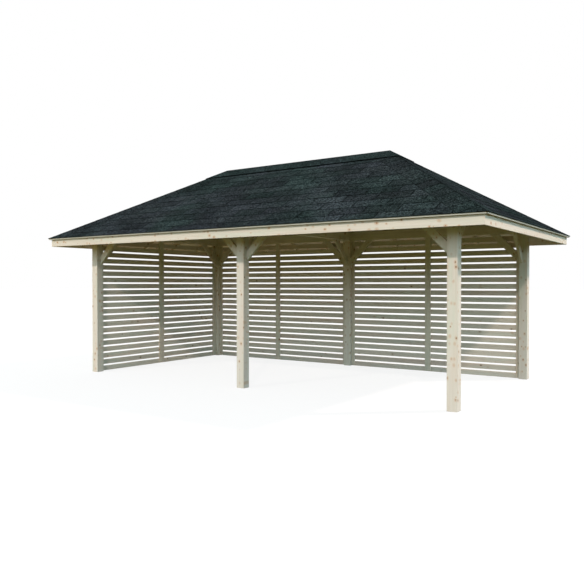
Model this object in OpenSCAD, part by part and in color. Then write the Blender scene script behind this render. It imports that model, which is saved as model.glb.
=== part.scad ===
// Open garden gazebo: six posts under a hipped roof, with slatted walls at the back and the left end.
// Millimetres, +Z up, +X along the ridge, -Y towards the open front.
// The origin is on the ground at the middle of the plan.

/* [Posts] */
// Side of each square post
post_w = 125; // [115:1:140]
// Length over the posts, along the ridge
frame_l = 6240; // [5800:10:6600]
// Depth over the posts, from front to back
frame_w = 3190; // [2900:10:3500]
// Height of the posts, up to the beams
post_h = 2231; // [2231:1:2400]
// Chamfer on the long edges of posts and beams
timber_chamfer = 3; // [1:0.5:8]

/* [Beams] */
// Width of the ring beams and of the tie beam
beam_w = 100; // [90:1:110]
// Depth of the ring beams and of the tie beam
beam_h = 145; // [120:1:160]

/* [Knee braces] */
// Thickness of a knee brace
brace_t = 38; // [30:1:45]
// Width of a knee brace
brace_w = 98; // [70:1:120]
// Distance from the post head to the foot of a brace, and the same along the beam
brace_leg = 453; // [380:1:520]
// Chamfer on the long edges of a knee brace
brace_chamfer = 3; // [1:0.5:6]

/* [Slatted walls] */
// Number of slats in each bay
slat_count = 21; // [15:1:21]
// Height of one slat
slat_h = 71; // [60:1:71]
// Gap between slats
slat_gap = 35; // [20:1:35]
// Thickness of the slats
slat_t = 20; // [16:1:22]
// Chamfer on the long edges of slats and battens
slat_chamfer = 2; // [1:0.5:4]
// Thickness of the battens behind the slats
batten_t = 20; // [16:1:22]
// Width of the battens beside the posts
edge_batten_w = 56; // [35:1:70]
// Width of the batten on the left wall beside the back corner post
corner_batten_w = 86; // [35:1:110]
// Width of the batten near the middle of a back bay
mid_batten_w = 97; // [70:1:110]
// Width of the batten near the middle of the left wall
left_batten_w = 117; // [70:1:130]
// Shift of the middle batten from mid-bay on the left wall, towards the back
left_batten_shift = -57; // [-300:1:300]
// Shift of the middle batten from mid-bay in the left back bay, towards the right
back_left_batten_shift = -24; // [-300:1:300]
// Shift of the middle batten from mid-bay in the right back bay, towards the right
back_right_batten_shift = -32; // [-300:1:300]

/* [Roof] */
// Pitch of all four slopes, in degrees
pitch = 30; // [28:0.5:32]
// Overhang of the roof boards past the posts
overhang = 485; // [420:5:540]
// Thickness of the roof boards
board_t = 18; // [16:1:22]
// Thickness of the lapped shingles
shingle_t = 6; // [3:0.5:10]
// Overhang of the shingles past the roof boards
shingle_lip = 9; // [0:1:12]
// Thickness of the ridge cap
cap_t = 10; // [4:1:16]
// Distance in plan from the ridge to the edge of the ridge cap
cap_run = 270; // [150:5:400]

/* [Roof frame] */
// Width of the rafters, the hip rafters and the ridge beam
rafter_w = 45; // [38:1:50]
// Depth of the rafters
rafter_h = 95; // [85:1:110]
// Depth of the hip rafters
hip_h = 120; // [110:1:130]
// Depth of the ridge beam
ridge_h = 145; // [125:1:160]
// Distance between rafters
rafter_step = 720; // [650:5:730]
// Depth of the notch that seats a rafter on the outer edge of its beam
birdsmouth = 23; // [10:1:35]

/* [Fascia] */
// Thickness of the fascia boards
fascia_t = 20; // [16:1:25]
// Height of the outer face of a fascia board
fascia_h = 130; // [120:1:145]
// Distance from the edge of the roof boards in to the fascia
fascia_setback = 36; // [20:1:60]
// Chamfer on the lower edges of a fascia board
fascia_chamfer = 2; // [1:0.5:6]

/* [Hidden] */

// Colours of the pale planed timber and of the dark roof covering
timber_colour = "#ddd4c6";
slat_colour = "#d2cab8";
fascia_colour = "#e2dccd";
board_colour = "#cfc5a8";
shingle_colour = "#2d3436";
cap_colour = "#2f3d3b";

// A small length that keeps cutting faces apart
eps = 1;

// Column and row signs of the posts: -1 is left or front, +1 is right or back
left = -1;
middle = 0;
right = 1;
front = -1;
back = 1;

// Places of the posts, the beams and the walls
post_x = (frame_l - post_w) / 2;
post_y = (frame_w - post_w) / 2;
beam_inset = (post_w - beam_w) / 2;
ring_l = frame_l - 2 * beam_inset;
ring_w = frame_w - 2 * beam_inset;
beam_top_z = post_h + beam_h;
brace_off = post_w / 2 - beam_inset - brace_t / 2;
batten_off = batten_t / 2;
slat_off = batten_off + (batten_t + slat_t) / 2;
slat_pitch = slat_h + slat_gap;
wall_foot_z = post_h - slat_count * slat_pitch;
left_bay_l = frame_w - 2 * post_w;
back_bay_l = (frame_l - 3 * post_w) / 2;
back_bay_x = (back_bay_l + post_w) / 2;
left_widths = [edge_batten_w, left_batten_w, corner_batten_w];
back_widths = [edge_batten_w, mid_batten_w, edge_batten_w];

// Thicknesses measured straight down through a slope
board_v = board_t / cos(pitch);
shingle_v = shingle_t / cos(pitch);
cap_v = cap_t / cos(pitch);
rafter_v = rafter_h / cos(pitch);
hip_pitch = atan(tan(pitch) / sqrt(2));
hip_v = hip_h / cos(hip_pitch);

// The roof boards' outline, with its eave set so that the rafters seat on the beams
roof_l = frame_l + 2 * overhang;
roof_w = frame_w + 2 * overhang;
half_run = roof_w / 2;
ridge_half = (roof_l - roof_w) / 2;
eave_z = beam_top_z - birdsmouth + rafter_v + board_v - (overhang + beam_inset) * tan(pitch);
ridge_z = eave_z + half_run * tan(pitch);
fascia_in = fascia_setback + fascia_t;
fascia_foot_z = under_boards_z(fascia_setback) - fascia_h;
hip_side_run = rafter_w / sqrt(2);
max_z = ridge_z + board_t + cap_t;

// Height of the top and of the underside of the roof boards at a run in from the eave
function boards_z(run) = eave_z + run * tan(pitch);
function under_boards_z(run) = boards_z(run) - board_v;

// Length of the eave on a side, and the eave's distance from the middle of the plan
function is_long(side) = side == "front" || side == "back";
function eave_l(side) = is_long(side) ? roof_l : roof_w;
function eave_out(side) = is_long(side) ? roof_w / 2 : roof_l / 2;
function side_turn(side) = side == "front" ? 0 : side == "right" ? 90 : side == "back" ? 180 : -90;

// A rectangle about the origin with its corners chamfered
function chamfered(w, h, c) = [
    [c - w / 2, -h / 2], [w / 2 - c, -h / 2], [w / 2, c - h / 2], [w / 2, h / 2 - c],
    [w / 2 - c, h / 2], [c - w / 2, h / 2], [-w / 2, h / 2 - c], [-w / 2, c - h / 2]
];

// Plan of a strip of one slope between two runs from the eave, mitred along the hips
function strip_plan(eave, run_0, run_1) =
    let (w_0 = eave / 2 - run_0, w_1 = eave / 2 - run_1)
    w_1 > eps ? [[-w_0, run_0], [w_0, run_0], [w_1, run_1], [-w_1, run_1]]
              : [[-w_0, run_0], [w_0, run_0], [0, run_1]];

// Extrudes a Y-Z outline along X, or an X-Z outline along Y, about the middle
module along_x(len) {
    rotate([90, 0, 90]) linear_extrude(len, center = true) children();
}
module along_y(len) {
    rotate([90, 0, 0]) linear_extrude(len, center = true) children();
}

// Puts a piece drawn with X along an eave and Y in from it onto one side of the roof
module on_side(side) {
    rotate(side_turn(side)) translate([0, -eave_out(side), 0]) children();
}

// A mitred strip of one slope, between two heights above the top of the roof boards
module slope_sheet(side, low, high, run_0, run_1) {
    on_side(side) intersection() {
        linear_extrude(max_z) polygon(strip_plan(eave_l(side), run_0, run_1));
        along_x(2 * roof_l) polygon([
            [run_0, boards_z(run_0) + low], [run_1, boards_z(run_1) + low],
            [run_1, boards_z(run_1) + high], [run_0, boards_z(run_0) + high]
        ]);
    }
}

// All the space below the roof boards
module under_roof() {
    low_z = under_boards_z(0);
    high_z = under_boards_z(half_run);
    intersection() {
        along_x(roof_l) polygon([
            [-half_run, 0], [half_run, 0], [half_run, low_z], [0, high_z], [-half_run, low_z]
        ]);
        along_y(roof_w) polygon([
            [-roof_l / 2, 0], [roof_l / 2, 0], [roof_l / 2, low_z],
            [ridge_half, high_z], [-ridge_half, high_z], [-roof_l / 2, low_z]
        ]);
    }
}

// The outline of the ring beams, which the rafters are notched over
module ring_blank() {
    translate([0, 0, post_h]) linear_extrude(beam_h) difference() {
        square([ring_l, ring_w], center = true);
        square([ring_l - 2 * beam_w, ring_w - 2 * beam_w], center = true);
    }
}

// Posts, with the ground at Z zero
module post(column, row) {
    color(timber_colour) translate([column * post_x, row * post_y, 0])
        linear_extrude(post_h) polygon(chamfered(post_w, post_w, timber_chamfer));
}

// Beams over the front and back posts, with the upper half cut away where a cross beam laps over
module long_beam(row) {
    color(timber_colour) difference() {
        translate([0, row * post_y, post_h + beam_h / 2])
            along_x(ring_l) polygon(chamfered(beam_w, beam_h, timber_chamfer));
        for (column = [left, middle, right])
            translate([column * (ring_l - beam_w) / 2, row * post_y, post_h + beam_h])
                cube([beam_w + (column == middle ? 0 : 2 * eps), beam_w + 2 * eps, beam_h], center = true);
    }
}

// Beams from front to back, with the lower half cut away at both ends
module cross_beam(column) {
    color(timber_colour) difference() {
        translate([column * (ring_l - beam_w) / 2, 0, post_h + beam_h / 2])
            along_y(ring_w) polygon(chamfered(beam_w, beam_h, timber_chamfer));
        for (row = [front, back])
            translate([column * (ring_l - beam_w) / 2, row * ((ring_w - beam_w) / 2 + eps), post_h])
                cube([beam_w + 2 * eps, beam_w + 2 * eps, beam_h], center = true);
    }
}

// One brace from a post's +X face up to the beam: a bar at 45 degrees, cut plumb at the post and level at the beam
module brace() {
    axis_leg = brace_leg - brace_w * sqrt(2) / 2;
    intersection() {
        translate([axis_leg / 2, 0, -axis_leg / 2]) rotate([0, -45, 0])
            along_x(2 * brace_leg) polygon(chamfered(brace_t, brace_w, brace_chamfer));
        translate([0, -brace_t, -2 * brace_leg]) cube(2 * brace_leg);
    }
}

// The braces of one post: along the long beam to each neighbour, and along the cross beam
module braces(column, row) {
    long_turns = column == left ? [0] : column == right ? [180] : [0, 180];
    color(timber_colour) translate([column * post_x, row * post_y, post_h]) {
        for (turn = long_turns)
            rotate(turn) translate([post_w / 2, -row * cos(turn) * brace_off, 0]) brace();
        rotate(-row * 90) translate([post_w / 2, -column * row * brace_off, 0]) brace();
    }
}

// Slats of one bay, drawn along X with the weather side towards +Y
module slats(bay_l) {
    color(slat_colour) for (i = [0 : slat_count - 1])
        translate([0, slat_off, wall_foot_z + i * slat_pitch + slat_h / 2])
            along_x(bay_l) polygon(chamfered(slat_t, slat_h, slat_chamfer));
}

// Battens inside the slats of one bay, with their widths: one beside each post and one near the middle
module battens(bay_l, widths, mid_shift) {
    places = [(widths[0] - bay_l) / 2, mid_shift, (bay_l - widths[2]) / 2];
    color(slat_colour) for (i = [0 : len(places) - 1])
        translate([places[i], batten_off, wall_foot_z])
            linear_extrude(post_h - wall_foot_z)
                polygon(chamfered(widths[i], batten_t, slat_chamfer));
}

// Places of the left wall and of a back bay
module on_left_wall() {
    translate([-post_x, 0, 0]) rotate(90) children();
}
module on_back_wall(column) {
    translate([column * back_bay_x, post_y, 0]) children();
}

// Ridge beam, its top bevelled to both slopes
module ridge_beam() {
    color(timber_colour) intersection() {
        translate([-ridge_half, -rafter_w / 2, under_boards_z(half_run) - ridge_h])
            cube([2 * ridge_half, rafter_w, ridge_h]);
        under_roof();
    }
}

// Hip rafter from a corner of the eaves to an end of the ridge, backed on top and notched below
module hip_rafter(column, row) {
    hip_run = half_run * sqrt(2);
    foot_z = under_boards_z(0) - hip_v;
    head_z = under_boards_z(half_run) - hip_v;
    color(timber_colour) mirror([column == left ? 1 : 0, 0, 0]) mirror([0, row == back ? 1 : 0, 0])
        difference() {
            intersection() {
                translate([roof_l / 2, -half_run, 0]) rotate(135) translate([hip_run / 2, 0, 0])
                    along_y(rafter_w) polygon([
                        [-hip_run / 2, foot_z], [hip_run / 2, head_z],
                        [hip_run / 2, max_z], [-hip_run / 2, max_z]
                    ]);
                under_roof();
                translate([0, fascia_in - half_run, 0])
                    cube([roof_l / 2 - fascia_in, half_run - fascia_in - rafter_w / 2, max_z]);
            }
            ring_blank();
        }
}

// Run at which a rafter meets the ridge beam or the side of a hip rafter
function head_run(side, u) = min(half_run - rafter_w / 2, eave_l(side) / 2 - abs(u) - hip_side_run);

// Plan of one rafter at a place along the eave: the one at the middle of an end runs to the ridge
function rafter_plan(side, u) =
    let (u_0 = u - rafter_w / 2, u_1 = u + rafter_w / 2)
    let (to_ridge = !is_long(side) && u == 0)
    [
        [u_0, fascia_in], [u_1, fascia_in],
        [u_1, to_ridge ? half_run : head_run(side, u_1)],
        [u_0, to_ridge ? half_run : head_run(side, u_0)]
    ];

// Rafters of one slope, cut to the hips and notched over the beam
module rafters(side) {
    count = floor((eave_l(side) / 2 - fascia_in - rafter_h) / rafter_step);
    color(timber_colour) difference() {
        intersection() {
            on_side(side) for (i = [-count : count])
                intersection() {
                    linear_extrude(max_z) polygon(rafter_plan(side, i * rafter_step));
                    along_x(2 * roof_l) polygon([
                        [0, under_boards_z(0) - rafter_v], [half_run, under_boards_z(half_run) - rafter_v],
                        [half_run, under_boards_z(half_run)], [0, under_boards_z(0)]
                    ]);
                }
            under_roof();
        }
        ring_blank();
    }
}

// Fascia board under the roof boards' edge, mitred at the corners, its top bevelled to the slope
module fascia(side) {
    chamfer_z = fascia_foot_z + fascia_chamfer;
    color(fascia_colour) on_side(side) intersection() {
        linear_extrude(max_z) polygon(strip_plan(eave_l(side), fascia_setback, fascia_in));
        along_x(2 * roof_l) polygon([
            [fascia_setback, chamfer_z], [fascia_setback + fascia_chamfer, fascia_foot_z],
            [fascia_in - fascia_chamfer, fascia_foot_z], [fascia_in, chamfer_z],
            [fascia_in, under_boards_z(fascia_in)], [fascia_setback, under_boards_z(fascia_setback)]
        ]);
    }
}

// Roof boards of one slope
module roof_boards(side) {
    color(board_colour) slope_sheet(side, -board_v, 0, 0, half_run);
}

// Shingles of one slope
module shingles(side) {
    color(shingle_colour) slope_sheet(side, 0, shingle_v, -shingle_lip, half_run);
}

// Cap folded over the ridge and the heads of the hips
module ridge_cap() {
    color(cap_colour) for (side = ["front", "back", "left", "right"])
        slope_sheet(side, shingle_v, shingle_v + cap_v, half_run - cap_run, half_run);
}

post(left, front);  // post_front_left
post(middle, front);  // post_front_middle
post(right, front);  // post_front_right
post(left, back);  // post_back_left
post(middle, back);  // post_back_middle
post(right, back);  // post_back_right
long_beam(front);  // beam_front
long_beam(back);  // beam_back
cross_beam(left);  // beam_left
cross_beam(right);  // beam_right
cross_beam(middle);  // tie_beam
braces(left, front);  // braces_front_left
braces(middle, front);  // braces_front_middle
braces(right, front);  // braces_front_right
braces(left, back);  // braces_back_left
braces(middle, back);  // braces_back_middle
braces(right, back);  // braces_back_right
on_left_wall() slats(left_bay_l);  // slats_left
on_back_wall(left) slats(back_bay_l);  // slats_back_left
on_back_wall(right) slats(back_bay_l);  // slats_back_right
on_left_wall() battens(left_bay_l, left_widths, left_batten_shift);  // battens_left
on_back_wall(left) battens(back_bay_l, back_widths, back_left_batten_shift);  // battens_back_left
on_back_wall(right) battens(back_bay_l, back_widths, back_right_batten_shift);  // battens_back_right
ridge_beam();
hip_rafter(left, front);  // hip_rafter_front_left
hip_rafter(right, front);  // hip_rafter_front_right
hip_rafter(left, back);  // hip_rafter_back_left
hip_rafter(right, back);  // hip_rafter_back_right
rafters("front");  // rafters_front
rafters("back");  // rafters_back
rafters("left");  // rafters_left
rafters("right");  // rafters_right
fascia("front");  // fascia_front
fascia("back");  // fascia_back
fascia("left");  // fascia_left
fascia("right");  // fascia_right
roof_boards("front");  // roof_boards_front
roof_boards("back");  // roof_boards_back
roof_boards("left");  // roof_boards_left
roof_boards("right");  // roof_boards_right
shingles("front");  // shingles_front
shingles("back");  // shingles_back
shingles("left");  // shingles_left
shingles("right");  // shingles_right
ridge_cap();
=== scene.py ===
import math

import bmesh
import bpy
import numpy as np
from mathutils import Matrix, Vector


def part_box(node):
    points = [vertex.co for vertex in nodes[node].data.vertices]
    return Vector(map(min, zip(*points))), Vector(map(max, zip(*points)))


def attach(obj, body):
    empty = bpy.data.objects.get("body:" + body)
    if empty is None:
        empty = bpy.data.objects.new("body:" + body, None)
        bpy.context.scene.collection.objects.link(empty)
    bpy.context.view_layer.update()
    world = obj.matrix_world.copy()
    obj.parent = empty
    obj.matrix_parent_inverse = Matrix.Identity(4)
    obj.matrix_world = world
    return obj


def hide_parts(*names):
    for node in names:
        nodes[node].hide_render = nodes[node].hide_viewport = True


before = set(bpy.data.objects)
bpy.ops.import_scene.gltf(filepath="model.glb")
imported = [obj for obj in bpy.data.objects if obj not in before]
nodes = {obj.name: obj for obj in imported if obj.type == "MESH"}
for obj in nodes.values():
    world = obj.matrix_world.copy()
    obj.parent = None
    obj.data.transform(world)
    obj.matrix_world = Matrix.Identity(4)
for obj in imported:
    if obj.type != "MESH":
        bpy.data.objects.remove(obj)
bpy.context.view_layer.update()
print("gazebo frame loaded,", len(nodes), "nodes")

# Roof sizes read off the frame, in metres: runs are level, slope lengths lie along the boards
boardLow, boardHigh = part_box("roof_boards_front")
sheetLow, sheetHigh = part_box("shingles_front")
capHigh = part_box("ridge_cap")[1]
halfRun = -boardLow.y
halfLength = boardHigh.x
ridgeHalf = halfLength - halfRun
eaveLip = -sheetLow.y - halfRun
rise = (boardHigh.z - sheetLow.z) / (halfRun + eaveLip)
pitch = math.atan(rise)
cosPitch = math.cos(pitch)
sinPitch = math.sin(pitch)
eaveTop = boardHigh.z - halfRun * rise
boardThick = (eaveTop - boardLow.z) * cosPitch
sheetThick = (sheetHigh.z - boardHigh.z) * cosPitch
capThick = (capHigh.z - sheetHigh.z) * cosPitch
capRun = capHigh.y
slopeLength = halfRun / cosPitch

# Half the eave's length and the eave's distance from the middle, for each side
eaveHalf = {"front": halfLength, "back": halfLength, "left": halfRun, "right": halfRun}
eaveOut = {"front": halfRun, "back": halfRun, "left": halfLength, "right": halfLength}
sideTurn = {"front": 0, "right": 1, "back": 2, "left": 3}
upSlope = {"front": (0, 1, rise), "right": (-1, 0, rise), "back": (0, -1, rise), "left": (1, 0, rise)}


# A place on a slope: u along the eave, s up the slope from the eave's edge, h the cover over the boards.
# The run in from the eave is s cos(pitch), and the cover is laid straight up as h / cos(pitch).
def onSlope(side, u, s, h):
    u, s, h = np.broadcast_arrays(u, s, h)
    x = u
    y = s * cosPitch - eaveOut[side]
    z = eaveTop + s * sinPitch + h / cosPitch
    for _ in range(sideTurn[side]):
        x, y = -y, x
    return np.stack([x, y, z], axis=-1)


weldReach = {"join": 1e-5, "collapse": 1e-6}  # metres


# Puts arrays into a mesh object that stands on the frame
def addPiece(name, points, faces, material, replaced=(), weld=False):
    mesh = bpy.data.meshes.new(name)
    mesh.from_pydata(points.reshape(-1, 3).tolist(), [], [list(face) for face in faces])
    mesh.validate()
    if weld:  # closes seams and drops what collapsed at a pole
        shape = bmesh.new()
        shape.from_mesh(mesh)
        bmesh.ops.remove_doubles(shape, verts=shape.verts, dist=weldReach["join"])
        bmesh.ops.dissolve_degenerate(shape, edges=shape.edges, dist=weldReach["collapse"])
        bmesh.ops.recalc_face_normals(shape, faces=shape.faces)
        shape.to_mesh(mesh)
        shape.free()
    mesh.materials.append(material)
    piece = bpy.data.objects.new(name, mesh)
    bpy.context.scene.collection.objects.link(piece)
    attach(piece, "root")
    if replaced:
        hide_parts(*replaced)
    return piece


# Writes a colour for each point, the tone of its tab, and how near it is to the tab's rim, where painted
# shade darkens it
def addTint(piece, tint, rim):
    layer = piece.data.attributes.new("tint", "FLOAT_COLOR", "POINT")
    rgba = np.concatenate([tint, np.ones(tint.shape[:-1] + (1,))], axis=-1)
    layer.data.foreach_set("color", rgba.astype(np.float32).ravel())
    layer = piece.data.attributes.new("rim", "FLOAT", "POINT")
    layer.data.foreach_set("value", np.asarray(rim, dtype=np.float32).ravel())


# Closed slabs from two grids each, the upper and the lower skin, of shape (slabs, rows, columns, 3).
# Rows run up, columns run right, seen from outside. Four strips join the rims of the two skins.
def slabs(upper, lower):
    count, rows, columns = upper.shape[:3]
    skin = rows * columns
    index = np.arange(skin).reshape(rows, columns)
    corners = [index[:-1, :-1], index[:-1, 1:], index[1:, 1:], index[1:, :-1]]
    quads = np.stack(corners, axis=-1).reshape(-1, 4)
    rim = np.concatenate([index[0, :-1], index[:-1, -1], index[-1, :0:-1], index[:0:-1, 0]])
    after = np.roll(rim, -1)
    walls = np.stack([after, rim, rim + skin, after + skin], axis=-1)
    one = np.concatenate([quads, quads[:, ::-1] + skin, walls])
    faces = (one[None] + 2 * skin * np.arange(count)[:, None, None]).reshape(-1, 4)
    points = np.concatenate([upper.reshape(count, skin, 3), lower.reshape(count, skin, 3)], axis=1)
    return points, faces


# Several meshes as one
def stack(parts):
    ahead = np.cumsum([0] + [points.reshape(-1, 3).shape[0] for points, _ in parts])
    points = np.concatenate([points.reshape(-1, 3) for points, _ in parts])
    return points, np.concatenate([faces + start for (_, faces), start in zip(parts, ahead)])


# Camera, at the place that the photograph was taken from
view = {
    "place": (5.662, -8.746, 1.449),
    "heading": 33.81,  # degrees to the left of straight ahead
    "tilt": -0.67,  # degrees up from level
    "lens": 40.19,  # millimetres, on the sensor below
    "sensor": 36.0,
}
cameraData = bpy.data.cameras.new("view")
cameraData.lens = view["lens"]
cameraData.sensor_width = view["sensor"]
camera = bpy.data.objects.new("view", cameraData)
camera.location = view["place"]
# A camera that isn't turned looks straight down, and at 90 degrees it is level
camera.rotation_euler = (math.radians(90 + view["tilt"]), 0, math.radians(view["heading"]))
bpy.context.scene.collection.objects.link(camera)
bpy.context.scene.camera = camera
bpy.context.scene.view_settings.view_transform = "Standard"
print("camera set")


# One shader node, its settings and its inputs: a socket is linked, anything else is the socket's own value
def put(tree, kind, inputs=None, **settings):
    made = tree.nodes.new("ShaderNode" + kind)
    for key, value in settings.items():
        setattr(made, key, value)
    for key, value in (inputs or {}).items():
        if isinstance(value, bpy.types.NodeSocket):
            tree.links.new(value, made.inputs[key])
        else:
            made.inputs[key].default_value = value
    return made


# One step of arithmetic
def maths(tree, operation, first, second=0.0, third=0.0):
    return put(tree, "Math", {0: first, 1: second, 2: third}, operation=operation).outputs[0]


# Two colours mixed by a share, or one laid on the other
def blendColours(tree, share, first, second, mode="MIX"):
    colours = [c if isinstance(c, bpy.types.NodeSocket) else (*c, 1.0) for c in (first, second)]
    mixed = put(tree, "Mix", {0: share, 6: colours[0], 7: colours[1]}, data_type="RGBA", blend_type=mode)
    return mixed.outputs[2]


# Eases a value from one level to another as the input passes from low to high
def ease(tree, value, low, high, start=0.0, end=1.0):
    inputs = {"Value": value, "From Min": low, "From Max": high, "To Min": start, "To Max": end}
    return put(tree, "MapRange", inputs, interpolation_type="SMOOTHSTEP").outputs[0]


# How far a place lies along a direction
def along(tree, place, direction):
    return put(tree, "VectorMath", {0: place, 1: direction}, operation="DOT_PRODUCT").outputs["Value"]


# Noise of one layer of a material
def noise(tree, place, layer):
    inputs = {"Vector": place, "Scale": layer["scale"], "Detail": layer["detail"],
              "Roughness": layer["roughness"]}
    return put(tree, "TexNoise", inputs).outputs["Fac"]


# A colour made lighter or darker by a level
def toned(tree, colour, level):
    grey = put(tree, "CombineColor", {0: level, 1: level, 2: level}).outputs[0]
    return blendColours(tree, 1.0, colour, grey, "MULTIPLY")


# A material with its nodes, its shader and the place on the object
def newMaterial(name):
    material = bpy.data.materials.new(name)
    material.use_nodes = True
    tree = material.node_tree
    place = put(tree, "TexCoord").outputs["Object"]
    return material, tree, tree.nodes["Principled BSDF"], place


# Links a colour to the shader, and a relief as bump
def linkSurface(tree, shader, colour, relief, bump):
    tree.links.new(colour, shader.inputs["Base Color"])
    bumped = put(tree, "Bump", {**bump, "Height": relief})
    tree.links.new(bumped.outputs[0], shader.inputs["Normal"])


# Light: three soft suns and a sky that is brightest low down, over a dark rim of land
lamps = {
    "front_right": {"towards": (0.56, -1.0, 0.70), "strength": 0.74, "colour": (1.0, 0.85, 0.77)},
    "front_left": {"towards": (-0.35, -1.0, 0.71), "strength": 1.02, "colour": (1.0, 0.930, 0.855)},
    "back_right": {"towards": (0.87, 0.74, 1.0), "strength": 2.70, "colour": (1.0, 0.82, 0.74)},
}
sunSpread = 2.5  # degrees
sky = {
    "horizon": 1.86,
    "zenith": 0.50,
    "lowBand": 0.15,  # sine of the height at which the sky starts to fade
    "highBand": 0.80,
    "front": (0.89, 1.02, 1.06),
    "right": (0.65, 0.94, 1.09),  # over the open end, where it is bluer
    "turn": (0.1, 0.8),  # share of +X in a direction over which the one colour gives way to the other
    "rim": (0.20, 0.19, 0.05),
    "rimBand": (0.02, 0.09),  # sines of the heights between which the rim gives way to the sky
    "shown": (1.0, 1.0, 1.0),
}
ground = {
    "size": 300.0,
    "glow": 0.85,
    "shade": (0.15, 0.15, 0.15),
    "bounceLeft": (0.228, 0.194, 0.066),  # what lights the roof from below, by the closed end
    "bounceRight": (0.081, 0.088, 0.029),
    "bounceSpan": (-3.6, 0.2),  # metres to the right over which the one gives way to the other
}

for name, lamp in lamps.items():
    sun = bpy.data.lights.new("sun_" + name, "SUN")
    sun.energy = lamp["strength"]
    sun.color = lamp["colour"]
    sun.angle = math.radians(sunSpread)
    holder = bpy.data.objects.new("sun_" + name, sun)
    holder.rotation_euler = Vector(lamp["towards"]).to_track_quat("Z", "Y").to_euler()
    bpy.context.scene.collection.objects.link(holder)


# Share of rays that see the plain white surroundings: straight from the camera, or by a gloss or a glass
def shownRays(tree):
    path = put(tree, "LightPath").outputs
    seen = maths(tree, "MAXIMUM", path["Is Camera Ray"], path["Is Glossy Ray"])
    return maths(tree, "MAXIMUM", seen, path["Is Transmission Ray"])


world = bpy.data.worlds.new("sky")
bpy.context.scene.world = world
world.use_nodes = True
tree = world.node_tree
tree.nodes.clear()
towards = put(tree, "SeparateXYZ", {0: put(tree, "TexCoord").outputs["Generated"]}).outputs
fade = ease(tree, towards["Z"], sky["lowBand"], sky["highBand"], sky["horizon"], sky["zenith"])
hue = blendColours(tree, ease(tree, towards["X"], *sky["turn"]), sky["front"], sky["right"])
hue = blendColours(tree, ease(tree, towards["Z"], *sky["rimBand"]), sky["rim"], hue)
dim = put(tree, "Background", {"Color": hue, "Strength": fade})
shown = put(tree, "Background", {"Color": (*sky["shown"], 1), "Strength": 1.0})
either = put(tree, "MixShader", {0: shownRays(tree), 1: dim.outputs[0], 2: shown.outputs[0]})
put(tree, "OutputWorld", {"Surface": either.outputs[0]})

groundMaterial = bpy.data.materials.new("ground")
groundMaterial.use_nodes = True
tree = groundMaterial.node_tree
tree.nodes.clear()
glow = put(tree, "Emission", {"Color": (*sky["shown"], 1), "Strength": ground["glow"]})
shade = put(tree, "BsdfDiffuse", {"Color": (*ground["shade"], 1)})
pale = put(tree, "AddShader", {0: glow.outputs[0], 1: shade.outputs[0]})
sideways = put(tree, "SeparateXYZ", {0: put(tree, "TexCoord").outputs["Object"]}).outputs["X"]
sideways = ease(tree, sideways, *ground["bounceSpan"])
hue = blendColours(tree, sideways, ground["bounceLeft"], ground["bounceRight"])
bounce = put(tree, "BsdfDiffuse", {"Color": hue})
either = put(tree, "MixShader", {0: shownRays(tree), 1: bounce.outputs[0], 2: pale.outputs[0]})
put(tree, "OutputMaterial", {"Surface": either.outputs[0]})

corner = ground["size"] / 2
corners = [(-corner, -corner, 0), (corner, -corner, 0), (corner, corner, 0), (-corner, corner, 0)]
groundMesh = bpy.data.meshes.new("ground")
groundMesh.from_pydata(corners, [], [(0, 1, 2, 3)])
groundMesh.materials.append(groundMaterial)
groundPlane = bpy.data.objects.new("ground", groundMesh)
bpy.context.scene.collection.objects.link(groundPlane)
print("light and ground set")

# Looks of the timber: linear colours, knots for each metre, and how strongly each layer shows
spruce = {
    "pale": (0.735, 0.665, 0.590),
    "rose": (0.715, 0.600, 0.510),
    "green": (0.665, 0.635, 0.535),
    "late": (0.560, 0.470, 0.360),
    "knotCore": (0.190, 0.080, 0.036),
    "knotHalo": (0.600, 0.385, 0.235),
    "streaks": 0.34,
    "fibres": 0.10,
    "knotCells": 9.0,  # across the grain
    "knotShare": 0.55,
    "knotSize": (0.05, 0.15),  # least and largest, as shares of a cell
    "spikes": 0.0,  # share of knots that run across the sides facing left and right
    "roughness": 0.68,
    "roughRange": 0.16,  # over the streaks
    "gloss": 0.03,
    "streakRelief": 0.5,  # heights against that of the fibres
    "knotRelief": 0.15,
    "bump": {"Strength": 0.22, "Distance": 0.0012},
}
# Layers of the grain: how space is stretched along and across it, the noise there, and the band of that
# noise over which the layer comes in
grainLayers = {
    "rose": {"stretch": (0.7, 7.0), "scale": 1.0, "detail": 2.0, "roughness": 0.5, "band": (0.42, 0.72)},
    "green": {"stretch": (0.5, 5.0), "scale": 1.7, "detail": 2.0, "roughness": 0.5, "band": (0.48, 0.75)},
    "streak": {"stretch": (1.1, 48.0), "scale": 1.0, "detail": 5.0, "roughness": 0.6, "band": (0.46, 0.78)},
    "fine": {"stretch": (7.0, 330.0), "scale": 1.0, "detail": 2.0, "roughness": 0.5, "band": (0.35, 0.75)},
}
# How a knot is drawn in its cell
knotForm = {
    "round": (0.75, 1.0),  # cells along and across the grain, as shares of knotCells
    "spike": (0.7, 0.2),
    "haloReach": 2.6,  # radii of the knot
    "haloShare": 0.55,
    "coreStart": 0.5,  # share of the radius from which the core fades
    "coreShare": 0.85,
    "none": 0.0001,  # radius in a cell without a knot
}
# How the grain of each slat or board is moved along and across, and the tones it may have
rowForm = {"shift": 60.0, "aside": 0.73, "dullest": 0.88, "range": 0.16}
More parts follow.
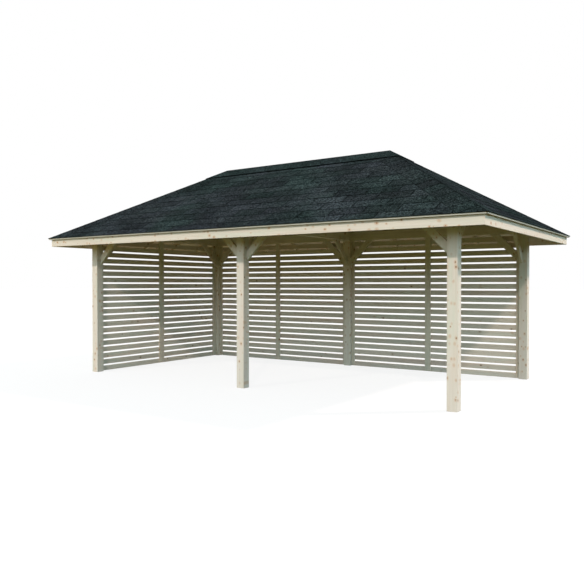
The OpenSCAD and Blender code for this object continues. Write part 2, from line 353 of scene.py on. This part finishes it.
# What differs from one use of the timber to another
postKnots = {"knotCells": 17.0, "knotShare": 0.9, "knotSize": (0.06, 0.20), "spikes": 0.6}
uses = {
    "posts": postKnots,
    # Back posts painted paler, as light in the shaded back corner
    "painted_light_posts": {**postKnots, "pale": (0.83, 0.75, 0.655), "rose": (0.81, 0.68, 0.57),
                   "green": (0.76, 0.71, 0.59)},
    "beams": {"pale": (0.77, 0.69, 0.55)},
    "braces": {"knotCells": 16.0, "knotShare": 0.9, "knotSize": (0.06, 0.20)},
    "slats": {"pale": (0.745, 0.662, 0.566), "rose": (0.78, 0.620, 0.525), "green": (0.69, 0.660, 0.570),
              "knotCore": (0.085, 0.042, 0.022), "knotHalo": (0.60, 0.45, 0.33), "streaks": 0.16,
              "knotCells": 8.0, "knotShare": 0.6, "knotSize": (0.05, 0.12)},
    "battens": {"pale": (0.77, 0.69, 0.565)},
    "roof_frame": {"pale": (0.52, 0.445, 0.32), "streaks": 0.42},
    "fascia": {"pale": (0.735, 0.652, 0.563), "knotCore": (0.36, 0.16, 0.075), "knotCells": 16.0,
               "knotShare": 0.75, "knotSize": (0.05, 0.20)},
    # Roof boards painted darker than their timber, as shade on the underside
    "roof_boards": {"pale": (0.51, 0.465, 0.36), "knotCells": 7.0},
}


# Grain space: the first coordinate runs with the grain, the other two across it
def straightGrain(tree, place, direction):
    lengthwise = Vector(direction).normalized()
    level = lengthwise.cross((0, 0, 1))
    if level.length == 0:  # the grain stands upright
        level = Vector((1, 0, 0))
    level.normalize()
    upright = level.cross(lengthwise)
    return [along(tree, place, tuple(d)) for d in (lengthwise, level, upright)]


# Grain of the knee braces of one post, which all rise at 45 degrees away from it, whichever way they point
def braceGrain(tree, place, postX, postY):
    apart = put(tree, "VectorMath", {0: place, 1: (postX, postY, 0)}, operation="SUBTRACT").outputs[0]
    apart = put(tree, "VectorMath", {0: apart}, operation="ABSOLUTE").outputs[0]
    slant = math.sqrt(0.5)
    ways = ((slant, slant, slant), (slant, slant, -slant), (slant, -slant, 0))
    return [along(tree, apart, way) for way in ways]


# Planed spruce: slow drifts of hue, streaks and fibres along the grain, and knots where cells of a
# Voronoi pattern come close to the surface. With rows, each slat or board gets a grain of its own, and
# with an eave, strips along it take other colours: painted shade under the overhang and a paler outer edge.
def timber(name, use, grainOf, rows=None, eave=None):
    look = {**spruce, **uses[use]}
    material, tree, shader, place = newMaterial(name)
    grain = grainOf(tree, place)
    if rows:
        row = maths(tree, "DIVIDE", along(tree, place, rows["direction"]), rows["step"])
        row = maths(tree, "FLOOR", maths(tree, "SUBTRACT", row, rows["start"] / rows["step"]))
        rowTone = put(tree, "TexWhiteNoise", {"W": row}, noise_dimensions="1D").outputs["Value"]
        grain[0] = maths(tree, "MULTIPLY_ADD", rowTone, rowForm["shift"], grain[0])
        grain[1] = maths(tree, "MULTIPLY_ADD", row, rowForm["aside"], grain[1])
    fibre = put(tree, "CombineXYZ", dict(enumerate(grain))).outputs[0]

    # The same space stretched along the grain, coarse to fine
    def stretched(lengthwise, across):
        scaled = {0: fibre, 1: (lengthwise, across, across)}
        return put(tree, "VectorMath", scaled, operation="MULTIPLY").outputs[0]

    # Noise of a layer of the grain, and how far the layer shows
    def layer(kind, most=1.0):
        form = grainLayers[kind]
        level = noise(tree, stretched(*form["stretch"]), form)
        return level, ease(tree, level, *form["band"], 0.0, most)

    colour = blendColours(tree, layer("rose")[1], look["pale"], look["rose"])
    colour = blendColours(tree, layer("green")[1], colour, look["green"])
    streak, late = layer("streak", look["streaks"])
    colour = blendColours(tree, late, colour, look["late"])
    fine, fibres = layer("fine", look["fibres"])
    colour = blendColours(tree, fibres, colour, look["late"])

    # How far a place is in a knot's halo and in its core
    def knots(kind, share):
        cells = [look["knotCells"] * part for part in knotForm[kind]]
        voronoi = put(tree, "TexVoronoi", {"Vector": stretched(*cells), "Scale": 1.0}).outputs
        chance = put(tree, "SeparateColor", {0: voronoi["Color"]}).outputs
        kept = maths(tree, "LESS_THAN", chance[1], share)
        least, largest = look["knotSize"]
        radius = maths(tree, "MULTIPLY_ADD", chance[0], largest - least, least)
        radius = maths(tree, "MAXIMUM", maths(tree, "MULTIPLY", radius, kept), knotForm["none"])
        outside = maths(tree, "MULTIPLY", radius, knotForm["haloReach"])
        inside = maths(tree, "MULTIPLY", radius, knotForm["coreStart"])
        halo = ease(tree, voronoi["Distance"], radius, outside, knotForm["haloShare"], 0.0)
        core = ease(tree, voronoi["Distance"], inside, radius, knotForm["coreShare"], 0.0)
        return halo, core

    halo, core = knots("round", look["knotShare"])
    colour = blendColours(tree, halo, colour, look["knotHalo"])
    colour = blendColours(tree, core, colour, look["knotCore"])
    if look["spikes"]:
        facing = put(tree, "SeparateXYZ", {0: put(tree, "TexCoord").outputs["Normal"]}).outputs["X"]
        streaked = knots("spike", look["spikes"])[0]
        streaked = maths(tree, "MULTIPLY", streaked, maths(tree, "ABSOLUTE", facing))
        colour = blendColours(tree, streaked, colour, look["knotHalo"])
    if rows:
        level = maths(tree, "MULTIPLY_ADD", rowTone, rowForm["range"], rowForm["dullest"])
        colour = toned(tree, colour, level)
    # Strips along the eave: painted shade under the overhang, and a paler outer edge
    if eave:
        out = maths(tree, "SUBTRACT", along(tree, place, eave["direction"]), eave["reach"])
        for strip in eave["strips"].values():
            share = ease(tree, out, *strip["band"], 0.0, strip["share"])
            colour = blendColours(tree, share, colour, strip["colour"])

    smoothest = look["roughness"] - look["roughRange"] / 2
    rough = maths(tree, "MULTIPLY_ADD", streak, look["roughRange"], smoothest)
    tree.links.new(rough, shader.inputs["Roughness"])
    shader.inputs["Specular IOR Level"].default_value = look["gloss"]
    relief = maths(tree, "MULTIPLY_ADD", streak, look["streakRelief"], fine)
    relief = maths(tree, "MULTIPLY_ADD", core, look["knotRelief"], relief)
    linkSurface(tree, shader, colour, relief, look["bump"])
    return material


# Gives a CAD node one material
def paint(node, material):
    nodes[node].data.materials.clear()
    nodes[node].data.materials.append(material)


alongX, alongY, upright = (1, 0, 0), (0, 1, 0), (0, 0, 1)


# How timber finds its grain: straight along a direction, or leaning away from a post
def grainAlong(direction):
    return lambda tree, place: straightGrain(tree, place, direction)


def grainFrom(post):
    low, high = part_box(post)
    middle = (low + high) / 2
    return lambda tree, place: braceGrain(tree, place, middle.x, middle.y)


# Slats with rounded edges, in metres
slats = {
    "height": 0.079,
    "step": 0.106,
    "middle": 0.0398,  # height of the lowest slat's middle
    "count": 21,
    "round": 0.003,
    "arc": 4,  # points on each round corner
}
# Slats are told apart by height, from half-way between two of them
slatStep = {"direction": upright, "step": slats["step"], "start": slats["middle"] - slats["step"] / 2}

postMaterial = timber("post_spruce", "posts", grainAlong(upright))
# Posts painted paler, as light in the shaded back corner
paintedLightPost = timber("painted_light_post_spruce", "painted_light_posts", grainAlong(upright))
battenMaterial = timber("batten_spruce", "battens", grainAlong(upright))
lengthwiseBeam = timber("long_beam_spruce", "beams", grainAlong(alongX))
crossBeam = timber("cross_beam_spruce", "beams", grainAlong(alongY))
ridgeTimber = timber("ridge_spruce", "roof_frame", grainAlong(alongX))
longFascia = timber("long_fascia_spruce", "fascia", grainAlong(alongX))
endFascia = timber("end_fascia_spruce", "fascia", grainAlong(alongY))
backSlats = timber("back_slat_spruce", "slats", grainAlong(alongX), slatStep)
leftSlats = timber("left_slat_spruce", "slats", grainAlong(alongY), slatStep)

paintedLightPosts = ("post_back_left", "post_back_middle")  # painted paler than the rest, as light in the shaded back corner
for row, inY in (("front", 1), ("back", -1)):
    paint("beam_" + row, lengthwiseBeam)
    paint("fascia_" + row, longFascia)
    for column in ("left", "middle", "right"):
        post = f"post_{row}_{column}"
        paint(post, paintedLightPost if post in paintedLightPosts else postMaterial)
        braceMaterial = timber(f"brace_spruce_{row}_{column}", "braces", grainFrom(post))
        paint(f"braces_{row}_{column}", braceMaterial)
    for column, inX in (("left", 1), ("right", -1)):
        inward = (inX, inY, rise)
        hipMaterial = timber(f"hip_spruce_{row}_{column}", "roof_frame", grainAlong(inward))
        paint(f"hip_rafter_{row}_{column}", hipMaterial)
for node in ("beam_left", "beam_right", "tie_beam"):
    paint(node, crossBeam)
for column in ("left", "right"):
    paint("fascia_" + column, endFascia)
    paint("battens_back_" + column, battenMaterial)
paint("battens_left", battenMaterial)
paint("ridge_beam", ridgeTimber)
for side, direction in upSlope.items():
    paint("rafters_" + side, timber("rafter_spruce_" + side, "roof_frame", grainAlong(direction)))
print("timber finished")


# Slats of one bay: an outline with round corners is carried along the bay, once for each slat. At a
# corner the outline is the corner's centre plus the radius times (cos a, sin a), over a quarter turn of a.
def slatBay(node, direction):
    low, high = np.array(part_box(node))
    lengthwise = np.array(direction)
    level = np.array([1, 1, 0]) - lengthwise
    quarter = np.arange(4)[:, None] * np.pi / 2
    angle = (quarter + np.linspace(0, np.pi / 2, slats["arc"])).ravel()
    middle = np.repeat(quarter + np.pi / 4, slats["arc"])
    flat = np.dot(high - low, level) / 2 - slats["round"]
    tall = slats["height"] / 2 - slats["round"]
    across = flat * np.sign(np.cos(middle)) + slats["round"] * np.cos(angle)
    up = tall * np.sign(np.sin(middle)) + slats["round"] * np.sin(angle)
    rows = slats["middle"] + slats["step"] * np.arange(slats["count"])
    ends = np.stack([low * lengthwise, high * lengthwise])[None, :, None]
    points = ends + (low + high) / 2 * level + across[:, None] * level
    points = points + (rows[:, None, None] + up)[..., None] * np.array(upright)
    ring = np.arange(len(angle))
    after = np.roll(ring, -1)
    sides = np.stack([ring, after, after + len(ring), ring + len(ring)], axis=-1)
    starts = 2 * len(ring) * np.arange(slats["count"])[:, None, None]
    caps = np.stack([ring[::-1], ring + len(ring)])
    faces = [*(sides + starts).reshape(-1, 4).tolist(), *(caps + starts).reshape(-1, len(ring)).tolist()]
    return points, faces


for node, direction, material in (("slats_left", alongY, leftSlats), ("slats_back_left", alongX, backSlats),
                                  ("slats_back_right", alongX, backSlats)):
    points, faces = slatBay(node, direction)
    addPiece(node.replace("slats", "slat_boards"), points, faces, material, [node], weld=True)
print("slats finished")

# Bitumen shingles: charcoal granules that drift to green and to a bluish grey. A band gives two values of
# the noise and the two levels of tone that they bring.
bitumen = {
    "charcoal": (0.0202, 0.0245, 0.0262),
    "green": (0.0182, 0.0276, 0.0270),
    "blue": (0.0232, 0.0268, 0.0320),
    "patches": {"scale": 1.1, "detail": 2.0, "roughness": 0.5},  # of hue
    "greenTint": 0.24,  # what a tab's own tint adds to the patches
    "greenStart": 0.14,
    "blueTint": 0.28,
    "blueStart": 0.76,
    "blueShare": 0.8,
    "hueBand": (0.25, 0.75),
    "tabTone": (0.75, 0.50),  # tone of the darkest tab, and what a tab's tint adds
    "mottle": {"scale": 30.0, "detail": 4.0, "roughness": 0.65, "band": (0.34, 0.66, 0.62, 1.44)},
    "granules": {"scale": 62.0, "detail": 3.0, "roughness": 0.7, "band": (0.38, 0.62, 0.16, 2.0)},
    "drifts": {"scale": 1.9, "detail": 2.0, "roughness": 0.5, "band": (0.35, 0.65, 0.82, 1.18)},
    "edges": 0.85,  # how far the rims of a tab darken, as painted shade at its butt and beside its slots
    "roughness": 0.95,
    "coarse": 1.0,  # how rough the granules are
    "gloss": 0.0,
    "mottleRelief": 0.6,  # height against that of the granules
    "bump": {"Strength": 0.35, "Distance": 0.002},
}


# Granules in the colours of a look. The tint of a tab sets its tone and hue, and its rim darkens it as
# painted shade.
def bitumenMaterial(name, look):
    material, tree, shader, place = newMaterial(name)
    tabTint = put(tree, "Attribute", attribute_name="tint").outputs["Color"]
    tint = put(tree, "SeparateColor", {0: tabTint}).outputs
    rim = put(tree, "Attribute", attribute_name="rim").outputs["Fac"]
    patch = noise(tree, place, look["patches"])
    greenPatch = maths(tree, "SUBTRACT", patch, look["greenStart"])
    greenShare = maths(tree, "MULTIPLY_ADD", tint[1], look["greenTint"], greenPatch)
    greenShare = ease(tree, greenShare, *look["hueBand"])
    bluePatch = maths(tree, "SUBTRACT", look["blueStart"], patch)
    blueShare = maths(tree, "MULTIPLY_ADD", tint[2], look["blueTint"], bluePatch)
    blueShare = ease(tree, blueShare, *look["hueBand"], 0.0, look["blueShare"])
    colour = blendColours(tree, greenShare, look["charcoal"], look["green"])
    colour = blendColours(tree, blueShare, colour, look["blue"])
    darkest, lighter = look["tabTone"]
    level = maths(tree, "MULTIPLY_ADD", tint[0], lighter, darkest)
    level = maths(tree, "MULTIPLY", level, maths(tree, "MULTIPLY_ADD", rim, -look["edges"], 1.0))
    layers = {kind: noise(tree, place, look[kind]) for kind in ("mottle", "granules", "drifts")}
    for kind, value in layers.items():
        level = maths(tree, "MULTIPLY", level, ease(tree, value, *look[kind]["band"]))
    shader.inputs["Roughness"].default_value = look["roughness"]
    shader.inputs["Diffuse Roughness"].default_value = look["coarse"]
    shader.inputs["Specular IOR Level"].default_value = look["gloss"]
    relief = maths(tree, "MULTIPLY_ADD", layers["mottle"], look["mottleRelief"], layers["granules"])
    linkSurface(tree, shader, toned(tree, colour, level), relief, look["bump"])
    return material


shingleMaterial = bitumenMaterial("shingle_bitumen", bitumen)

# Shingle courses, in metres
courses = {
    "first": 0.151,  # exposed height of the course at the eave
    "exposure": 0.2025,
    "tabWidth": 0.4586,
    "slot": 0.008,
    "slotPaintedShade": 0.6,  # how far the painted shade at the rims beside a slot darkens, against that at the butts
    "phase": 0.0185,  # place of a slot in the first course, from the middle of the eave
    "stagger": 0.5,  # tabs by which every other course is moved
    "spare": 2,  # tabs laid out past each end, before the hips cut them off
    "cover": 0.05,  # length of a tab under the next course
    "topGap": 0.004,  # left free below the ridge
    "hipGap": 0.003,  # left free beside a hip
    "apexGap": 0.012,  # left free below the point that a hip cuts
    "shortest": 0.03,  # tab that is still laid
    "thick": 0.44,  # share of the sheet's thickness
    "settle": 0.25,  # most that a tab lies lower, as a share of its lift
    "waver": 0.0016,
    "rows": (0, 0.07, 0.5, 1),  # shares of a tab's height and width at which it has points
    "columns": (0, 0.025, 0.35, 0.65, 0.975, 1),
    "felt": 0.0012,
    "feltGrid": (4, 6),
    "feltTone": 0.1,
    "paintedShadeSide": "right",
    "paintedShadeTone": 0.45,  # share of the lighter tones on that slope, which is painted darker as shade
    "seed": 12,
}


# Tabs of one slope. A tab spans u from slot to slot, cut off where a hip crosses, and s from its butt to
# its head. Its lower skin slopes from the tab below, at the butt, down to the boards at the head.
def shingleTabs(side, chance):
    span = eaveHalf[side]
    top = slopeLength - courses["topGap"]
    butts = np.arange(courses["first"], slopeLength - courses["cover"], courses["exposure"])
    butts = np.concatenate([[-eaveLip / cosPitch], butts])
    heads = np.minimum(np.append(butts[1:], top) + courses["cover"], top)
    moved = courses["stagger"] * (np.arange(len(butts)) % 2)[:, None]
    reach = int(span / courses["tabWidth"]) + courses["spare"]
    number = np.arange(-reach, reach + 1)[None]
    left = courses["phase"] + courses["tabWidth"] * (number + moved)
    right = left + courses["tabWidth"] - courses["slot"]
    butt = np.broadcast_to(butts[:, None], left.shape)
    head = np.broadcast_to(heads[:, None], left.shape)
    nearest = np.where((left < 0) & (right > 0), 0.0, np.minimum(np.abs(left), np.abs(right)))
    apex = (span - nearest) / cosPitch - courses["apexGap"]
    last = np.minimum(head, apex)
    kept = last - butt > courses["shortest"]
    left, right, butt, head, last = (a[kept] for a in (left, right, butt, head, last))
    count = len(left)
    r = np.array(courses["rows"])[None, :, None]
    c = np.array(courses["columns"])[None, None, :]
    # Painted shade on the rims: full at the butt, less beside the slots
    rim = np.maximum(r == 0, courses["slotPaintedShade"] * ((c == 0) | (c == 1)))
    grid = (slice(None), None, None)
    s = butt[grid] + (last - butt)[grid] * r + np.zeros_like(c)
    edge = span - s * cosPitch - courses["hipGap"]
    u0 = np.maximum(left[grid], -edge)
    u1 = np.minimum(right[grid], edge)
    u = u0 + (u1 - u0) * c
    waver = chance.normal(0, courses["waver"], (count, 1, c.size))
    s = s + waver * (1 - r) * (butt > 0)[grid]
    thick = courses["thick"] * sheetThick
    lift = (sheetThick - thick) * (1 - (s - butt[grid]) / (head - butt)[grid])
    lift = lift * (1 - courses["settle"] * chance.random((count, 1, 1)))
    lift = np.clip(lift, 0, sheetThick - thick)
    lower = onSlope(side, u, s, lift)
    upper = onSlope(side, u, s, lift + thick)
    # One slope painted darker, as shade
    lightness = courses["paintedShadeTone"] if side == courses["paintedShadeSide"] else 1.0
    tone = chance.random((count, 3)) * [lightness, 1.0, 1.0]
    tint = np.repeat(tone, 2 * rim.size, axis=0)
    rim = np.tile(rim.ravel(), 2 * count)

    # Underlay, a thin dark sheet that shows in the slots, darkened all over as painted shade in the slots
    rows, columns = courses["feltGrid"]
    s = np.linspace(0, top, rows)[None, :, None] + np.zeros((1, 1, columns))
    u = (span - s * cosPitch - courses["topGap"]) * np.linspace(-1, 1, columns)
    felt = slabs(onSlope(side, u, s, courses["felt"]), onSlope(side, u, s, 0.0))
    points, faces = stack([slabs(upper, lower), felt])
    tint = np.concatenate([tint, np.full((2 * s.size, 3), courses["feltTone"])])
    return points, faces, tint, np.concatenate([rim, np.ones(2 * s.size)])


for side, turn in sideTurn.items():
    chance = np.random.default_rng(courses["seed"] + turn)
    points, faces, tint, rim = shingleTabs(side, chance)
    sheets = ["shingles_" + side]
    piece = addPiece("shingle_courses_" + side, points, faces, shingleMaterial, sheets)
    addTint(piece, tint, rim)
    print("shingles", side, len(faces), "faces")

# Caps folded over the hips, in metres
hipCap = {
    "wing": 0.25,  # width of each half, square to the hip
    "exposure": 0.2025,
    "cover": 0.05,
    "lastButt": 0.30,  # down from the hip's upper end
    "lastHead": 0.05,
    "apart": 0.004,  # left free where the caps of two hips come together
    "thick": 0.0025,
    "lift": 0.0018,
    "bed": 0.72,  # share of the sheet's thickness that the caps lie on
    "sink": 0.0012,  # how far the long rims are pressed into the courses
    "sinkPower": 6,  # the higher, the nearer to the rim it starts
    "crease": 0.0015,  # how far the fold is rounded down
    "creaseWidth": 0.012,
    "rows": (0, 0.06, 0.5, 1),  # shares of a cap's length and of a wing at which it has points
    "columns": (1, 0.92, 0.75, 0.5, 0.25, 0.08, 0.03),
    "tone": (0.4, 0.8, 0.5),  # how much of each tint the caps take
    "edges": 0.5,  # how far the long rims darken, as painted shade
    "fold": 0.7,  # how far the fold darkens, as painted shade along the hip
    "foldWidth": 0.015,
    "seed": 41,  # of the first hip
}
# The slopes to the left and right of each hip, seen from outside
hips = {
    "front_right": ("front", "right"), "back_right": ("right", "back"),
    "back_left": ("back", "left"), "front_left": ("left", "front"),
}
hipAngle = math.atan(1 / cosPitch)  # between the hip and the eave, in the plane of a slope
hipLength = math.hypot(halfRun, slopeLength)


# Caps of one hip. d runs up the hip from the eave and w across it, so that on a slope
# s = d sin(a) - w cos(a), and u comes in from the eave's end by d cos(a) + w sin(a).
# A cap starts at its butt, or where the eave cuts it off, and its head lies under the next cap.
def hipCaps(leftSide, rightSide, chance):
    sinA = math.sin(hipAngle)
    cosA = math.cos(hipAngle)
    butt = np.arange(-eaveLip, hipLength - hipCap["lastButt"], hipCap["exposure"])[:, None, None]
    head = np.minimum(butt + hipCap["exposure"] + hipCap["cover"], hipLength - hipCap["lastHead"])
    half = hipCap["wing"] * np.array(hipCap["columns"])
    w = np.concatenate([half, [0.0], half[::-1]])[None, None, :]
    r = np.array(hipCap["rows"])[None, :, None]
    first = np.maximum(butt, (w * cosA - eaveLip / cosPitch) / sinA)
    d = first + (head - first) * r
    narrow = np.minimum(w, (halfRun - d * cosA) / sinA - hipCap["apart"])
    s = d * sinA - narrow * cosA
    inward = d * cosA + narrow * sinA
    low = hipCap["bed"] * sheetThick + hipCap["lift"] * (head - d) / (head - butt)
    low = low - hipCap["crease"] * np.exp(-(w / hipCap["creaseWidth"]) ** 2)
    low = low - hipCap["sink"] * (w / hipCap["wing"]) ** hipCap["sinkPower"]
    shape = np.broadcast(s, low).shape
    middle = len(half)

    def skin(height):
        left = onSlope(leftSide, eaveHalf[leftSide] - inward, s, height)
        right = onSlope(rightSide, inward - eaveHalf[rightSide], s, height)
        return np.concatenate([left[:, :, :middle + 1], right[:, :, middle + 1:]], axis=2)

    points, faces = slabs(skin(low + hipCap["thick"]), skin(low))
    tone = chance.random((shape[0], 3)) * hipCap["tone"]
    tint = np.repeat(tone, 2 * shape[1] * shape[2], axis=0)
    # Painted shade along the fold, on the long rims and at the butt
    rim = hipCap["fold"] * np.exp(-(w / hipCap["foldWidth"]) ** 2) + hipCap["edges"] * (w == hipCap["wing"])
    rim = np.broadcast_to(np.maximum(r == 0, rim)[:, None], (shape[0], 2, *shape[1:]))
    return points, faces, tint, rim


for number, (hip, sides) in enumerate(hips.items()):
    chance = np.random.default_rng(hipCap["seed"] + number)
    points, faces, tint, rim = hipCaps(*sides, chance)
    addTint(addPiece("hip_caps_" + hip, points, faces, shingleMaterial), tint, rim)

# Ridge cap, in metres
ridge = {
    "round": 0.012,  # runs out from the ridge line, to where the fold is at its height and where it ends
    "fold": 0.035,
    "rim": 0.025,  # runs in from the cap's own rim
    "edge": 0.003,
    "drop": 0.003,  # how far the fold is rounded down
    "crease": 0.6,  # how far the fold darkens, as painted shade
    "creaseReach": 1.5,  # how far out the painted shade on the fold and on the rim reaches, in rounds and in edges
    "edgeReach": 2.0,
    "tone": 0.4,
}
# Ridge cap: its rims darken more, as painted shade under its lower edges
capLook = {**bitumen, "charcoal": (0.0150, 0.0225, 0.0220), "edges": 0.9}
capMaterial = bitumenMaterial("ridge_bitumen", capLook)
# One profile is carried round the ridge. At a level run r out from the ridge the path is a rectangle
# that reaches r past the ridge line on every side, and the cap lies h over the boards.
capTop = sheetThick + capThick
r = np.array([0, ridge["round"], ridge["fold"], capRun - ridge["rim"], capRun - ridge["edge"],
              capRun, capRun, 0])
h = capTop - np.array([ridge["drop"], 0, 0, 0, 0, ridge["edge"], capThick, capThick])
z = boardHigh.z - r * rise + h / cosPitch
across = np.stack([ridgeHalf + r, r, z], axis=-1)
points = across[:, None] * np.array([(-1, -1, 1), (1, -1, 1), (1, 1, 1), (-1, 1, 1)])[None]
loop = np.arange(len(r) * 4).reshape(len(r), 4)
turned = np.roll(loop, -1, axis=1)
faces = np.stack([loop[:-1], loop[1:], turned[1:], turned[:-1]], axis=-1).reshape(-1, 4)
piece = addPiece("ridge_capping", points, faces, capMaterial, ["ridge_cap"], weld=True)
# Painted shade on the ridge cap: along the fold and at the rims
spread = np.abs([(corner.co.x, corner.co.y) for corner in piece.data.vertices])
out = np.maximum(spread[:, 0] - ridgeHalf, spread[:, 1])
paintedShadeFold = out < ridge["creaseReach"] * ridge["round"]
rim = np.maximum(out > capRun - ridge["edgeReach"] * ridge["edge"], ridge["crease"] * paintedShadeFold)
addTint(piece, np.full((len(rim), 3), ridge["tone"]), rim)
print("roof covering finished")

# Roof boards with a groove at each joint, seen from below, in metres
boards = {
    "count": 22,
    "groove": 0.008,
    "depth": 0.004,
    "edge": 0.002,
    "mitre": 0.007,
    "point": 0.0005,  # half the width that is left where two mitres meet
}
# Strips along the eave, over metres out from it: painted shade on the underside in front of the fascia, and
# a paler colour on the outer edge of the boards, where their painted shade is lifted
eaveStrips = {
    "painted_shade": {"colour": (0.22, 0.20, 0.15), "band": (-0.045, -0.035), "share": 0.9},
    "planed": {"colour": (0.60, 0.56, 0.49), "band": (-0.0012, -0.0004), "share": 0.8},
}


# Boards of one slope: an outline in s and h, closed over the top, spans the eave between two mitres,
# at which u is the eave's half length less the run s cos(pitch).
def boardOutline():
    joints = np.linspace(0, slopeLength, boards["count"] + 1)[1:-1]
    s = joints[:, None] + np.array([-0.5, 0, 0.5]) * boards["groove"]
    h = np.broadcast_to([0, boards["depth"], 0], s.shape)
    s = np.concatenate([[0, 0, boards["edge"]], s.ravel(), [slopeLength, slopeLength]])
    h = np.concatenate([[boardThick, boards["edge"], 0], h.ravel(), [0, boardThick]]) - boardThick
    return s, h


for side, direction in upSlope.items():
    s, h = boardOutline()
    reach = np.maximum(eaveHalf[side] - s * cosPitch - boards["mitre"], boards["point"])
    points = onSlope(side, reach[:, None] * np.array([-1, 1]), s[:, None], h[:, None])
    left = np.arange(0, 2 * len(s), 2)
    after = np.roll(left, -1)
    strips = np.stack([left, after, after + 1, left + 1], axis=-1)
    faces = [*strips.tolist(), left[::-1].tolist(), (left + 1).tolist()]
    climb = Vector(direction).normalized()
    eaveMiddle = onSlope(side, 0.0, 0.0, 0.0)
    rows = {"direction": tuple(climb), "step": slopeLength / boards["count"],
            "start": float(np.dot(eaveMiddle, climb))}
    level = alongX if side in ("front", "back") else alongY
    outward = (-climb.x / cosPitch, -climb.y / cosPitch, 0)
    eave = {"direction": outward, "reach": eaveOut[side], "strips": eaveStrips}
    material = timber("roof_board_spruce_" + side, "roof_boards", grainAlong(level), rows, eave)
    sheets = ["roof_boards_" + side]
    addPiece("roof_boarding_" + side, points, faces, material, sheets, weld=True)
print("roof boards finished")
